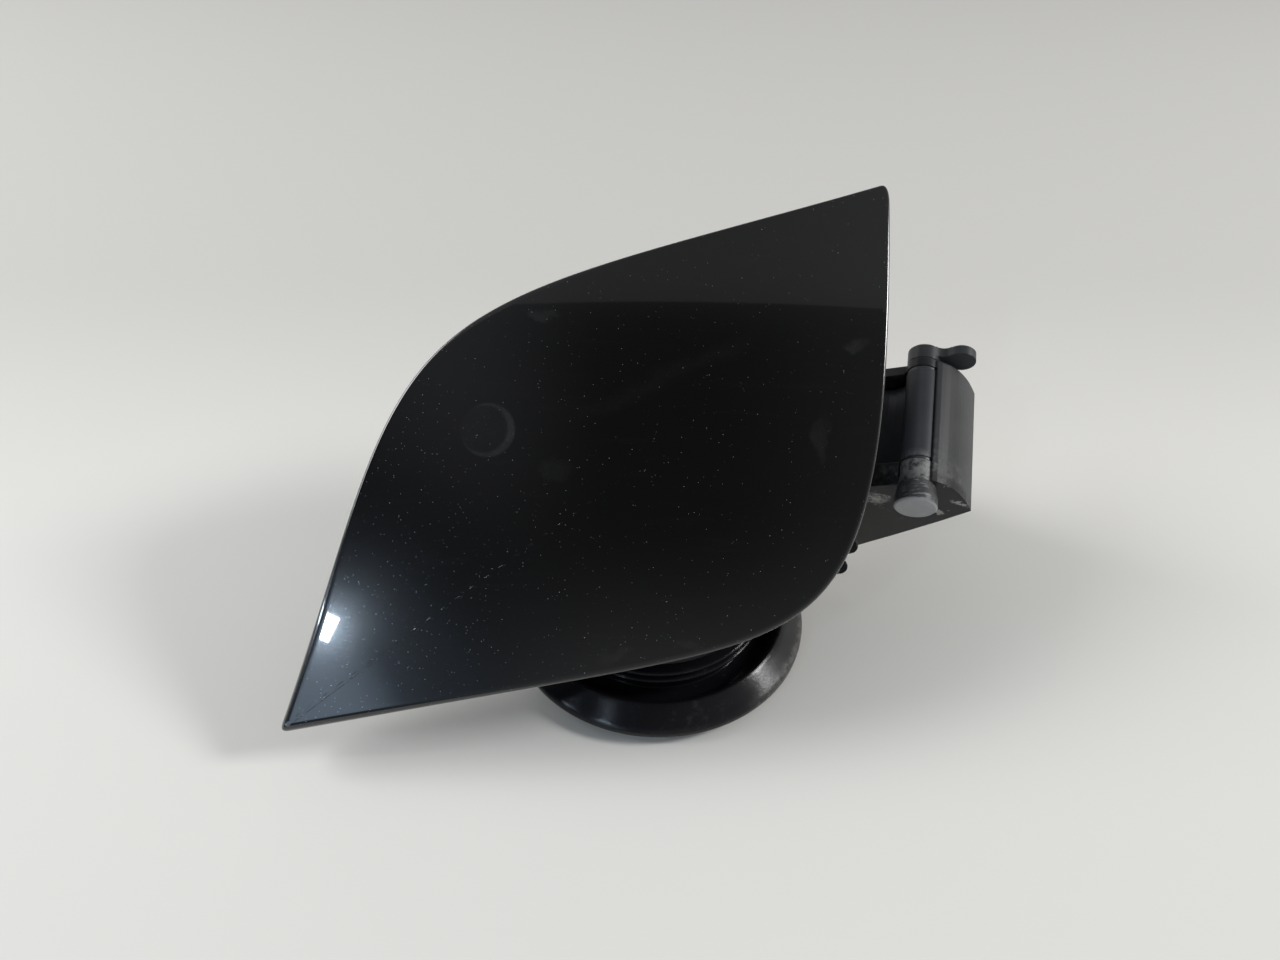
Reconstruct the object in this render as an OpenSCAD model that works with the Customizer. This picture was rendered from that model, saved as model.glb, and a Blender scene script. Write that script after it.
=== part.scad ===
/* [Placement] */
// Slope of the door from the horizontal while the part stands on its neck seal
door_slope = 40; // [39:0.5:41]
// Height of the door's centre above the foot of the neck seal
door_height = 64.5; // [64:0.5:66]
// How far the door's centre lies behind the neck axis
door_back = 3; // [2:0.5:4]

/* [Door skin] */
// Scale of the leaf outline, 1 being 160 mm wide
leaf_scale = 1; // [1:0.005:1.03]
// Radius of the two leaf tips
tip_r = 2; // [1.8:0.2:4]
// Radius of the skin's crown
crown_r = 1200; // [1000:50:1600]
// Thickness of the painted skin
skin_t = 2.5; // [2:0.1:3]
// Depth of the turned edge, measured from the outer face
lip_h = 6; // [5:0.25:7]
// Thickness of the turned edge
lip_t = 1.6; // [1.2:0.1:2]

/* [Carrier] */
// Thickness of the carrier plate
carrier_t = 2; // [1.6:0.1:2.4]
// Gap between the skin and the carrier, filled by the bond line
bond_gap = 0.3; // [0.2:0.05:0.4]
// Distance from the skin's outline to the carrier's outline
carrier_inset = 3.6; // [2.5:0.1:5]
// Thickness of the carrier's ribs
rib_t = 1.5; // [1.2:0.1:2]
// Height of the carrier's ribs below its plate
rib_h = 2.2; // [1.5:0.1:2.6]
// Radius of the studs that hold the carrier to the skin
stud_r = 1.8; // [1.5:0.1:2.2]

/* [Hinge] */
// Distance of the pin head from the door's centre, to the right
hinge_right = 69.4; // [69:0.2:71]
// Distance of the pin head from the door's centre, downwards in the door's plane
hinge_down = 13.6; // [13:0.2:14.4]
// Depth of the pin head behind the door's outer face
hinge_deep = 14; // [13.6:0.2:15]
// Lean of the pin away from the door's plane
lean_back = 18; // [17.5:0.25:18.5]
// Lean of the pin to the right
lean_side = 11; // [10.5:0.25:11.5]
// Radius of the hinge pin's shank
pin_r = 2.5; // [2:0.1:2.8]
// Radial running clearance of the knuckle on its pin
pin_clear = 0.06; // [0.03:0.01:0.1]
// Radius of the pin's head
head_r = 5.85; // [5.6:0.05:6.2]
// Length of the pin's head
head_h = 6.8; // [6:0.1:7]
// Outer radius of the knuckle and of the barrel bosses
barrel_r = 4.7; // [4.4:0.1:5]
// Length of the knuckle
knuckle_l = 29; // [28:0.2:29.4]
// Thickness of each thrust washer
washer_t = 0.7; // [0.5:0.1:1]
// Gap at each face that turns
side_gap = 0.15; // [0.1:0.05:0.3]
// Thickness of the gooseneck arm
arm_t = 3.4; // [3:0.1:3.8]
// Thickness of the hinge spring's strip
leaf_t = 0.8; // [0.6:0.1:1]

/* [Pocket] */
// Height of the barrel boss on the lower ear
low_boss_h = 6.4; // [6:0.1:7]
// Thickness of the ears and of the pocket's walls
pocket_t = 2.2; // [1.8:0.1:2.6]
// Height of the barrel boss above the upper ear
top_boss_h = 0.6; // [0.4:0.1:1.2]
// Height of the keeper cap, whose tab lies flush with its top
cap_h = 4.8; // [4.5:0.1:5.5]
// Radius of the keeper's round tab
tab_r = 4.2; // [3.9:0.1:4.4]
// Reach of the keeper's round tab from the pin
tab_reach = 10.3; // [10:0.1:10.8]

/* [Bowl] */
// Inner radius of the bowl's mouth
cup_r = 44; // [43.5:0.25:44.25]
// Wall thickness of the bowl
cup_t = 2.2; // [1.8:0.1:2.6]
// Depth of the bowl's rim behind the door's outer face
rim_deep = 10.5; // [10.3:0.1:11]
// Width of the rim's flange
rim_w = 4.2; // [3.8:0.1:4.6]
// Thickness of the rim's flange
rim_t = 2; // [1.6:0.1:2.4]
// Height of the bowl's floor above the foot
floor_z = 22; // [21.5:0.25:23]
// Radius of the fixing screws' holes
ear_hole_r = 2.7; // [2.2:0.1:3]
// Distance of the fixing holes from the mouth's centre
ear_reach = 70; // [68:0.5:71]
// Radius of the rubber buffers' heads
buffer_r = 4; // [3.5:0.1:4.5]

/* [Neck seal] */
// Radius of the opening for the filler neck
neck_r = 24; // [23:0.25:24.5]
// Outer radius of the seal's wide flange
flange_r = 43; // [42:0.5:45]
// Radius of the flat foot
foot_r = 37; // [36:0.5:38]
// Radius where the cone of the flange ends
cone_r = 37.75; // [37.25:0.25:38.25]
// Height of the flange's cone above the foot
cone_z = 8.9; // [8.6:0.1:9.2]
// Height of the groove's floor between the raised edge and the bellows
groove_z = 4.5; // [4:0.25:5]
// Wall of the bellows
bellows_t = 1.8; // [1.5:0.1:2]
// Depth of the bellows' folds
fold_d = 3.2; // [2.5:0.1:3.6]
// Number of folds
folds = 2; // [1:1:2]

/* [Lock] */
// Radius of the lock bolt
bolt_r = 3; // [2.6:0.1:3.2]
// Travel of the lock bolt
bolt_travel = 7; // [6:0.5:8]
// Depth of the bolt's axis behind the door's outer face
bolt_deep = 17; // [16.6:0.2:17.6]
// Height of the bolt's axis in the door's plane, from the door's centre
lock_y = -9; // [-10:0.5:-8]
// Length of the lock's housing
lock_l = 19; // [18:0.5:20]
// Width of the lock's housing
lock_w = 25; // [24:0.5:26]

/* [Hidden] */
$fn = 72;
seat_gap = 0.3;
fit_gap = 0.05;

// Leaf outline: two curves of degree five that meet at the tips
lower_tip = [-98.5, -72.5];
upper_tip = [63.5, 76];
top_side = [lower_tip, [-89, -45], [-68, 24], [-80, 41], [-26, 46], upper_tip];
low_side = [upper_tip, [63, 66], [57, -71], [53, -43], [5, -54], lower_tip];
side_steps = 26;
// Radius of the largest circle inside the leaf
leaf_r = 53;
tip_steps = 5;

// Heights along the hinge pin, from the head's end face
ear_low = head_h;
knuckle_low = ear_low + low_boss_h + side_gap + washer_t + side_gap;
knuckle_top = knuckle_low + knuckle_l;
ear_top = knuckle_top + side_gap + washer_t + side_gap;
boss_top = ear_top + pocket_t + top_boss_h;
cap_low = boss_top + side_gap;
cap_top = cap_low + cap_h;
pin_top = cap_top - 2;

// Faces behind the skin
carrier_top = skin_t + bond_gap;
carrier_low = carrier_top + carrier_t;

// Bowl and seal
rim_low = rim_deep + rim_t;
collar_r = neck_r + 2;
collar_low = 13.5;
cuff_low = 15.6;
cuff_top = floor_z - cup_t - 0.4;
bellows_low = groove_z + 5.1;
sheet_t = 3;
arm_sweep = 31.5;
rib_ring = cup_r - 1;
rib_root = 4.4;
rib_low = carrier_low + rib_h + 1.2;
bolt_face = cup_r + 7.5;
bolt_rear = bolt_face + 12;
// The buffers sit halfway between the rim and the fixing holes
buffer_reach = (cup_r + rim_w + ear_reach - 0.2) / 2;
buffer_foot = rim_low + 1.6;
striker_x = cup_r - 11;
striker_t = 2.2;
bolt_tip = striker_x - striker_t / 2 - 1.2 + bolt_travel;
stud_places = [[-72, -50], [-50, -44], [-53, 18.5], [30, 54], [50, 62], [24, -28], [-18, 30]];
nut_r = 3.4;
nut_clear = 0.4;
spring_w = 12.6;
spring_low = knuckle_low + 7;
screw_y = lock_w / 2 - 2.9;
band_h = 3;
ear_turns = [215, 49];

function unit(v) = v / norm(v);
function choose(n, k) = k == 0 ? 1 : choose(n, k - 1) * (n - k + 1) / k;
function vsum(list, i = 0) = i == len(list) - 1 ? list[i] : list[i] + vsum(list, i + 1);
function curve(p, t) = let (n = len(p) - 1)
    vsum([for (k = [0:n]) choose(n, k) * pow(1 - t, n - k) * pow(t, k) * p[k]]);
function crown(x, y) = sqrt(crown_r * crown_r - x * x - y * y) - crown_r;

// A closed outline moved inwards by d; its points run anticlockwise
function inset(p, d) = let (n = len(p)) [for (i = [0:n - 1])
    let (u = unit(p[i] - p[(i + n - 1) % n]), v = unit(p[(i + 1) % n] - p[i]))
    let (a = [-u.y, u.x], b = [-v.y, v.x])
    p[i] + d * (a + b) / (1 + a * b)];

// An open path given a width
function path_side(p, d) = let (n = len(p)) [for (i = [0:n - 1])
    let (u = unit(p[min(i + 1, n - 1)] - p[max(i - 1, 0)]))
    p[i] + d * [-u.y, u.x]];
function flip(p) = [for (i = [len(p) - 1:-1:0]) p[i]];
function ribbon(p, w) = concat(path_side(p, -w / 2), flip(path_side(p, w / 2)));

// A round tip from the end of one side to the start of the next
function tip_arc(a, tip, b) = [for (i = [0:tip_steps]) curve([a, tip, b], i / tip_steps)];
function tip_share(a, b) = 1.45 * tip_r / (5 * norm(b - a));
function first_t(s) = tip_share(s[0], s[1]);
function last_t(s) = 1 - tip_share(s[4], s[5]);
function near_tip(s, end) = curve(s, end == 0 ? first_t(s) : last_t(s));
function side_part(s) = let (t0 = first_t(s), t1 = last_t(s))
    [for (i = [1:side_steps - 1]) curve(s, t0 + (t1 - t0) * i / side_steps)];
function leaf_raw() = concat(
    tip_arc(near_tip(top_side, 1), upper_tip, near_tip(low_side, 0)), side_part(low_side),
    tip_arc(near_tip(low_side, 1), lower_tip, near_tip(top_side, 0)), side_part(top_side));
// The raw outline runs clockwise, so it is turned round here
function leaf() = flip(leaf_raw()) * leaf_scale;
// A smaller leaf that lies about d inside the skin's outline, and further in at the tips
function small_leaf(d) = leaf() * (1 - d / leaf_r);

// The pocket's outline across the pin: x to the right, y into the body
shoulder = [[2.6, 0.1 - barrel_r], [9, -4.2], [14, 1.5], [18.1, 8.1]];
pocket_outer = concat([for (i = [0:12]) curve(shoulder, i / 12)],
    [[12.6, 17.7], [4.7, 30.4], [-4.5, 44.6], [-9, 45.2], [-40, 40], [-40, 9], [-14, 9], [-11, 4.5],
    [1 - barrel_r, 0]]);
// The hollow starts behind the knuckle's middle, so the wall in front closes up to the knuckle
hollow_front = -0.8;
arm_path = concat([for (i = [0:14]) curve([[0, 2], [-3, 17], [-24, 18], [-22.6, -2]], i / 14)],
    [[-22.6, -40]]);
leaf_path = concat([for (i = [0:8]) curve([[11.9, 13.4], [9, 16.5], [5.4, 12], [5.4, 6]], i / 8)],
    [[5.4, -0.2]]);

module in_door() {
    translate([0.5, door_back, door_height]) rotate([door_slope, 0, 0]) children();
}

// Frame of the lock: z along the bolt, from the housing's face into the bowl
module in_lock() {
    in_door() translate([-bolt_face, lock_y, -bolt_deep]) rotate([0, 90, 0]) children();
}

module in_hinge() {
    in_door() translate([hinge_right, -hinge_down, -hinge_deep])
        rotate([0, 0, -lean_side]) rotate([-90 - lean_back, 0, 0]) children();
}

// Everything behind the crowned face that lies drop below the skin's outer face
module dome(drop) {
    reach = 130;
    rotate_extrude($fn = 96) polygon(concat([[0, -60], [reach, -60]],
        [for (r = [reach:-10:0]) [r, crown(r, 0) - drop]]));
}

module leaf_plate(outline) {
    translate([0, 0, -50]) linear_extrude(60) polygon(outline);
}

// A crowned sheet between two depths, inside an outline
module leaf_sheet(outline, top, low) {
    difference() {
        intersection() {
            leaf_plate(outline);
            dome(top);
        }
        dome(low);
    }
}

module outer_panel() {
    color([0.03, 0.04, 0.045]) in_door() {
        difference() {
            leaf_sheet(leaf(), 0, lip_h);
            intersection() {
                leaf_plate(small_leaf(lip_t));
                dome(skin_t);
            }
        }
        for (p = stud_places)
            translate([p.x, p.y, crown(p.x, p.y) - carrier_low - 2.4]) cylinder(r = stud_r, h = carrier_low + 1);
    }
}

module carrier_rib(turn, r0, r1) {
    rotate([0, 0, turn]) translate([r0, -rib_t / 2, -rib_low]) cube([r1 - r0, rib_t, rib_low - rib_root]);
}

module ring_rib(r) {
    translate([0, 0, -rib_low]) difference() {
        cylinder(r = r, h = rib_low + crown(r, 0) - (carrier_top + carrier_low) / 2);
        translate([0, 0, -1]) cylinder(r = r - rib_t, h = rib_low);
    }
}

// Room round a push nut, where the ribs stop short of it
module nut_room(place) {
    translate([place.x, place.y, -rib_low - 1]) cylinder(r = nut_r + nut_clear, h = rib_low + 1);
}

// Plate, ribs, hook for the filler cap, gooseneck arm and knuckle in one moulding
module inner_panel() {
    color([0.08, 0.08, 0.085]) difference() {
        union() {
            in_door() {
                difference() {
                    leaf_sheet(small_leaf(carrier_inset), carrier_top, carrier_low + rib_h);
                    intersection() {
                        leaf_plate(small_leaf(carrier_inset + rib_t));
                        dome(carrier_low);
                    }
                }
                difference() {
                    union() {
                        for (turn = [20:40:340]) carrier_rib(turn, 14, rib_ring - 1);
                        ring_rib(rib_ring);
                    }
                    for (p = stud_places) nut_room(p);
                }
                ring_rib(15);
                cap_hook();
            }
            intersection() {
                in_hinge() translate([0, 0, knuckle_low]) {
                    linear_extrude(knuckle_l) polygon(ribbon(arm_path, arm_t));
                    for (z = [0.4, knuckle_l / 2 - 1, knuckle_l - 2.4])
                        translate([0, 0, z]) linear_extrude(2) arm_web();
                }
                in_door() dome((carrier_top + carrier_low) / 2);
            }
            in_hinge() translate([0, 0, knuckle_low]) cylinder(r = barrel_r, h = knuckle_l);
        }
        in_hinge() translate([0, 0, knuckle_low - 1]) cylinder(r = pin_r + pin_clear, h = knuckle_l + 2);
        in_hinge() cam_flat();
        in_door() for (p = stud_places)
            translate([p.x, p.y, -20]) cylinder(r = stud_r + 0.3, h = 30);
    }
}

// Thin webs that stiffen the bend of the arm on its outer side
module arm_web() {
    polygon([[-22.6, -24], [-22.6, 0], [-24.6, -1], [-28, -14], [-34, -24]]);
}

// Flat on the knuckle that the hinge spring bears on while the door is shut
module cam_flat() {
    translate([barrel_r - 0.5, -10, spring_low - 1]) cube([5, 20, spring_w + 2]);
}

// Open hook on the carrier's inside that the loose filler cap hangs on
module cap_hook() {
    translate([-8, -4, -carrier_low - 8]) cube([16, 2.4, 9]);
    translate([-8, -4, -carrier_low - 8]) cube([16, 8, 2]);
    translate([-8, 2, -carrier_low - 8]) cube([16, 2, 4]);
}

module push_nuts() {
    nut_drop = 1.15;
    color([0.55, 0.55, 0.57]) in_door() for (p = stud_places)
        translate([p.x, p.y, crown(p.x, p.y) - carrier_low - nut_drop - nut_r * norm(p) / crown_r]) push_nut();
}

module push_nut() {
    difference() {
        rotate_extrude() polygon([[stud_r, 0], [nut_r, 0.5], [nut_r, 1], [nut_r - 0.9, 1], [stud_r, 0.5]]);
        for (turn = [0:60:300]) rotate([0, 0, turn]) translate([stud_r - 1, -0.3, -1]) cube([2, 0.6, 3]);
    }
}

module striker() {
    foot_half = 7.5;
    foot_l = 9;
    foot_top = -carrier_low + crown(striker_x + striker_t / 2, lock_y - foot_half) - 0.02;
    color([0.2, 0.2, 0.21]) in_door() translate([-striker_x, lock_y, 0]) difference() {
        union() {
            translate([-striker_t / 2, -6, -bolt_deep - 5]) cube([striker_t, 12, bolt_deep + 4 + foot_top]);
            translate([-striker_t / 2, -foot_half, foot_top - 1.8]) cube([foot_l, 2 * foot_half, 1.8]);
        }
        translate([-5, 0, -bolt_deep]) rotate([0, 90, 0]) cylinder(r = bolt_r + 0.5, h = 10);
    }
}

module hinge_pin() {
    color([0.42, 0.43, 0.44]) in_hinge() rotate_extrude() polygon([[0, 0], [head_r - 0.5, 0],
        [head_r, 0.5], [head_r, 2.2], [barrel_r + 0.3, head_h], [pin_r, head_h], [pin_r, pin_top - 0.6],
        [pin_r - 0.6, pin_top], [0, pin_top]]);
}

// Hollow-sided waist between the keeper's cap and its tab
module keeper_waist() {
    waist_r = 3.2;
    cap_far = barrel_r + waist_r;
    tab_far = tab_r + waist_r;
    side_x = (cap_far * cap_far - tab_far * tab_far + tab_reach * tab_reach) / (2 * tab_reach);
    side_y = sqrt(cap_far * cap_far - side_x * side_x);
    difference() {
        polygon([[0, 0], [side_x, -side_y], [tab_reach, 0], [side_x, side_y]]);
        for (y = [-side_y, side_y]) translate([side_x, y]) circle(waist_r);
    }
}

// Cap on the pin's upper end and its round tab, one flat piece
module pin_keeper() {
    turn = -18;
    tab_t = 3.3;
    edge = 0.5;
    color([0.09, 0.09, 0.095]) in_hinge() difference() {
        union() {
            translate([0, 0, cap_low]) cylinder(r = barrel_r, h = cap_h - edge);
            translate([0, 0, cap_top - edge]) cylinder(r1 = barrel_r, r2 = barrel_r - edge, h = edge);
            rotate([0, 0, turn]) translate([0, 0, cap_top - tab_t]) {
                linear_extrude(tab_t - 0.3) keeper_waist();
                translate([tab_reach, 0, 0]) cylinder(r = tab_r, h = tab_t - edge);
                translate([tab_reach, 0, tab_t - edge]) cylinder(r1 = tab_r, r2 = tab_r - edge, h = edge);
            }
        }
        translate([0, 0, cap_low - 1]) cylinder(r = pin_r, h = pin_top - cap_low + 1);
    }
}

module hinge_washers() {
    color([0.12, 0.12, 0.12]) in_hinge() for (z = [ear_low + low_boss_h, ear_top - side_gap - washer_t])
        translate([0, 0, z + (z > knuckle_top ? 0 : side_gap)]) difference() {
            cylinder(r = barrel_r - 0.2, h = washer_t);
            translate([0, 0, -1]) cylinder(r = pin_r + fit_gap, h = washer_t + 2);
        }
}

module hinge_spring() {
    color([0.5, 0.5, 0.52]) in_hinge() translate([0, 0, spring_low]) linear_extrude(spring_w)
        polygon(ribbon(leaf_path, leaf_t));
}

module cup(extra, mouth) {
    hull() {
        in_door() translate([0, 0, -rim_low]) cylinder(r = cup_r + extra, h = mouth);
        translate([0, 0, floor_z - extra]) cylinder(r = neck_r + 3 + extra, h = 0.2);
    }
}

// Volume that the arm sweeps on its way from shut to open
module arm_room() {
    in_hinge() translate([0, 0, knuckle_low - seat_gap]) linear_extrude(knuckle_l + 2 * seat_gap)
        intersection() {
            circle(r = arm_sweep);
            translate([-40, -40]) square([40, 55]);
        }
}

module pocket_hollow() {
    intersection() {
        polygon(inset(pocket_outer, pocket_t));
        translate([-50, hollow_front]) square(100);
    }
}

// Outside of the bowl before its hollows are cut
module bowl_block() {
    cup(cup_t, rim_t / 2);
    translate([0, 0, collar_low]) cylinder(r = collar_r, h = floor_z - collar_low);
    in_door() {
        translate([0, 0, -rim_low]) cylinder(r = cup_r + rim_w, h = rim_t);
        for (turn = ear_turns) rotate([0, 0, turn]) fixing_ear();
        for (turn = [-25.5, -31.8]) rotate([0, 0, turn]) snap_hook();
        lock_pad();
    }
    in_hinge() translate([0, 0, ear_low]) linear_extrude(ear_top + pocket_t - ear_low) polygon(pocket_outer);
}

// Bowl, collar, rim, hinge pocket and fixing ears in one moulding
module filler_bowl() {
    color([0.07, 0.07, 0.075]) difference() {
        union() {
            difference() {
                bowl_block();
                cup(0, 20);
                translate([0, 0, collar_low - 1]) cylinder(r = neck_r, h = 30);
                in_hinge() translate([0, 0, ear_low + pocket_t])
                    linear_extrude(ear_top - ear_low - pocket_t) pocket_hollow();
                in_hinge() translate([0, 0, ear_low + pocket_t])
                    cylinder(r = barrel_r + 0.4, h = ear_top - ear_low - pocket_t);
                arm_room();
                lock_holes();
            }
            in_hinge() {
                translate([0, 0, ear_low]) cylinder(r = barrel_r, h = low_boss_h);
                translate([0, 0, ear_top]) cylinder(r = barrel_r, h = boss_top - ear_top);
            }
        }
        in_hinge() translate([0, 0, ear_low - 1]) cylinder(r = pin_r, h = 60);
    }
}

module lock_holes() {
    in_lock() translate([0, 0, -2]) cylinder(r = bolt_r + 0.3, h = 20);
    in_lock() translate([0, 0, -1]) cylinder(r = bolt_r + 2.4, h = 3.4);
    for (y = [-screw_y, screw_y]) in_lock() translate([0, y, -1]) cylinder(r = 1.4, h = 5);
}

module fixing_ear() {
    translate([0, 0, -rim_low]) difference() {
        union() {
            translate([cup_r + 0.8, -8, 0]) cube([ear_reach - cup_r - 0.8, 16, rim_t]);
            translate([ear_reach, 0, 0]) cylinder(r = 8, h = rim_t);
            translate([cup_r + 0.8, -rib_t / 2, -4]) cube([ear_reach - cup_r - 6, rib_t, 5]);
        }
        translate([ear_reach, 0, -1]) cylinder(r = ear_hole_r, h = rim_t + 2);
        translate([buffer_reach, 0, -6]) cylinder(r = 2, h = 10);
        translate([buffer_reach, 0, -6]) cylinder(r = 3.2, h = 6);
    }
}

// Hook that snaps behind the body's opening, seen beside the door's lower edge
module snap_hook() {
    hook_reach = cup_r + 14;
    hook_r = 2;
    translate([cup_r + 1, -hook_r, -rim_low - 1]) cube([hook_reach - hook_r - cup_r - 1, 2 * hook_r, rim_t]);
    translate([hook_reach - hook_r, 0, -rim_low - 1]) cylinder(r = hook_r, h = rim_t + 1.5);
}

module lock_pad() {
    translate([-bolt_face, lock_y - lock_w / 2, -bolt_deep - 7]) cube([bolt_face - cup_r + 9, lock_w, 13]);
}

// Half section of the neck seal: flat foot, cone, raised edge, groove, folds and cuff
function fold_outer(i) = let (step = (cuff_low - bellows_low) / folds, z = bellows_low + i * step)
    [[collar_r + bellows_t, z], [collar_r + bellows_t + fold_d, z + step * 0.4],
    [collar_r + bellows_t + fold_d, z + step * 0.6]];
function fold_inner(i) = [for (p = flip(fold_outer(i))) [p.x - bellows_t, p.y]];

module neck_seal() {
    color([0.05, 0.05, 0.055]) rotate_extrude() polygon(concat(
        [[neck_r, 0], [foot_r, 0], [flange_r, 3.2], [flange_r, 4.6], [flange_r - 0.7, 5.3],
        [cone_r, cone_z], [cone_r - 0.9, cone_z + 0.7], [cone_r - 2, cone_z + 0.2],
        [collar_r + bellows_t + 4.6, groove_z], [collar_r + bellows_t, groove_z]],
        [for (i = [0:folds - 1]) each fold_outer(i)],
        [[collar_r + bellows_t, cuff_low], [collar_r + bellows_t, cuff_top], [collar_r, cuff_top], [collar_r, cuff_low]],
        [for (i = [folds - 1:-1:0]) each fold_inner(i)],
        [[collar_r, sheet_t], [neck_r, sheet_t]]));
}

module cuff_band() {
    band_r = collar_r + bellows_t;
    color([0.1, 0.1, 0.1]) translate([0, 0, cuff_low + 0.4]) {
        difference() {
            cylinder(r = band_r + 0.9, h = band_h);
            translate([0, 0, -1]) cylinder(r = band_r, h = band_h + 2);
        }
        rotate([0, 0, 200]) translate([band_r + 0.4, -3, -0.2]) cube([2.2, 6, band_h + 0.4]);
    }
}

module rim_seal() {
    lip_z = rim_deep - carrier_low + crown(cup_r + 3, 0) - seat_gap;
    color([0.06, 0.06, 0.06]) difference() {
        in_door() translate([0, 0, -rim_deep]) rotate_extrude() polygon([[cup_r + 0.4, 0],
            [cup_r + 3.6, 0], [cup_r + 3.6, 1.2], [cup_r + 2.4, 1.6], [cup_r + 3.4, lip_z - 0.4],
            [cup_r + 2.6, lip_z], [cup_r + 1, 1.6], [cup_r + 0.4, 1.4]]);
        arm_room();
    }
}

module door_buffers() {
    top = buffer_foot - carrier_low + crown(buffer_reach, 0) - seat_gap;
    seat = buffer_foot - rim_deep;
    color([0.1, 0.1, 0.1]) in_door() for (turn = ear_turns)
        rotate([0, 0, turn]) translate([buffer_reach, 0, -buffer_foot])
            rotate_extrude() polygon([[0, 0], [1.8, 0], [2.8, 1.2], [2.8, 1.6], [2, 1.6], [2, seat],
                [buffer_r, seat], [buffer_r, top - 1.2], [buffer_r - 1, top], [0, top]]);
}

module lock_body() {
    color([0.15, 0.15, 0.155]) difference() {
        in_door() translate([-bolt_face - lock_l, lock_y - lock_w / 2, -bolt_deep - 7]) {
            cube([lock_l, lock_w, 13]);
            translate([lock_l * 0.3, 5, -3]) cube([12, lock_w - 10, 4]);
        }
        in_lock() translate([0, 0, bolt_face - bolt_rear - 1]) cylinder(r = bolt_r + fit_gap, h = 20);
        for (y = [-screw_y, screw_y]) in_lock() translate([0, y, -lock_l - 1]) {
            cylinder(r = 1.5, h = lock_l + 3);
            cylinder(r = 2.9, h = 3.2);
        }
    }
}

module lock_bolt() {
    bolt_l = bolt_rear - bolt_tip;
    color([0.6, 0.6, 0.62]) in_lock() translate([0, 0, bolt_face - bolt_rear]) {
        cylinder(r = bolt_r, h = bolt_l - 1.5);
        translate([0, 0, bolt_l - 1.5]) cylinder(r1 = bolt_r, r2 = bolt_r - 1, h = 1.5);
    }
}

module bolt_seal() {
    color([0.1, 0.1, 0.1]) in_lock() translate([0, 0, 0.05]) difference() {
        cylinder(r = bolt_r + 2.35, h = 2.3);
        translate([0, 0, -1]) cylinder(r = bolt_r + fit_gap, h = 5);
    }
}

module lock_screws() {
    color([0.55, 0.55, 0.56]) for (y = [-screw_y, screw_y]) in_lock() translate([0, y, 2.2 - lock_l]) {
        translate([0, 0, -2]) cylinder(r = 2.7, h = 2);
        cylinder(r = 1.4, h = lock_l + 1.6);
    }
}

outer_panel();
inner_panel();
push_nuts();
striker();
hinge_pin();
pin_keeper();
hinge_washers();
hinge_spring();
filler_bowl();
neck_seal();
cuff_band();
rim_seal();
door_buffers();
lock_body();
lock_bolt();
bolt_seal();
lock_screws();
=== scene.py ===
"""Looks of a car fuel door: gloss paint, scuffed black plastic, rubber seal and a plain studio."""

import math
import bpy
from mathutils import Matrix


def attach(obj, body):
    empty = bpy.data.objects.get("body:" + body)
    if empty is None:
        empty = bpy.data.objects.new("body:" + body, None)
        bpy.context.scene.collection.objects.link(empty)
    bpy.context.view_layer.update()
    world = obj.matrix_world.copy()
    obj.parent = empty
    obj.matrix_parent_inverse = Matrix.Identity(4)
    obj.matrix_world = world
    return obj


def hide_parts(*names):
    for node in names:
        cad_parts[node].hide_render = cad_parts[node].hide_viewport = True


bl_info = {
    "name": "Fuel Door Looks",
    "version": (1, 0, 0),
    "blender": (4, 5, 0),
    "location": "3D View > Sidebar > Fuel Door",
    "description": "Dresses the fuel door's frame with its skin, finishes and studio",
    "category": "Object",
}

import bmesh
import bpy
from bpy.props import FloatProperty, FloatVectorProperty, PointerProperty
from mathutils import Matrix, Vector

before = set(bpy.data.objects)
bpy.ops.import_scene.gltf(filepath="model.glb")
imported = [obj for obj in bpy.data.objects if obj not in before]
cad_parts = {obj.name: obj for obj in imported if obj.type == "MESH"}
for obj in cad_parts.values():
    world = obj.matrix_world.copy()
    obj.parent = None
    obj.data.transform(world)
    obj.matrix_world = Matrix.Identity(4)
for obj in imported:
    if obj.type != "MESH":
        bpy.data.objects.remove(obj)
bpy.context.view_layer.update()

MM = 0.001
# The door's own frame: x to the hinge, y up its slope, z out of its face
DOOR_SLOPE = math.radians(40)
DOOR_TURN = Matrix.Rotation(DOOR_SLOPE, 3, "X")
DOOR_CENTRE = Vector((0.5, 3.0, 64.5)) * MM
# The pin: the centre of its head's face, and its axis from there
PIN_HEAD = Vector((0.0699, 0.0015808, 0.0450335))
PIN_AXIS = Vector((0.18147, 0.913798, 0.363375)).normalized()
# Across the pin: to its right, and down into the body
PIN_SIDE = Vector((0.982, -0.146, -0.123)).normalized()
PIN_DOWN = Vector((-0.059, 0.379, -0.923)).normalized()
# Along the pin from its head's face: the pocket's lower face, its boss's end and the knuckle's start
LOWER_FACE = 6.8 * MM
BOSS_END = 13.2 * MM
KNUCKLE_START = 14.2 * MM
# The seal's flange: its radius, its edge's top, and where the cone on it ends
FLANGE_R = 43 * MM
FLANGE_EDGE = 5 * MM
CONE_R = 37.75 * MM
CONE_TOP = 8.9 * MM


# Shader trees


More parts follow.
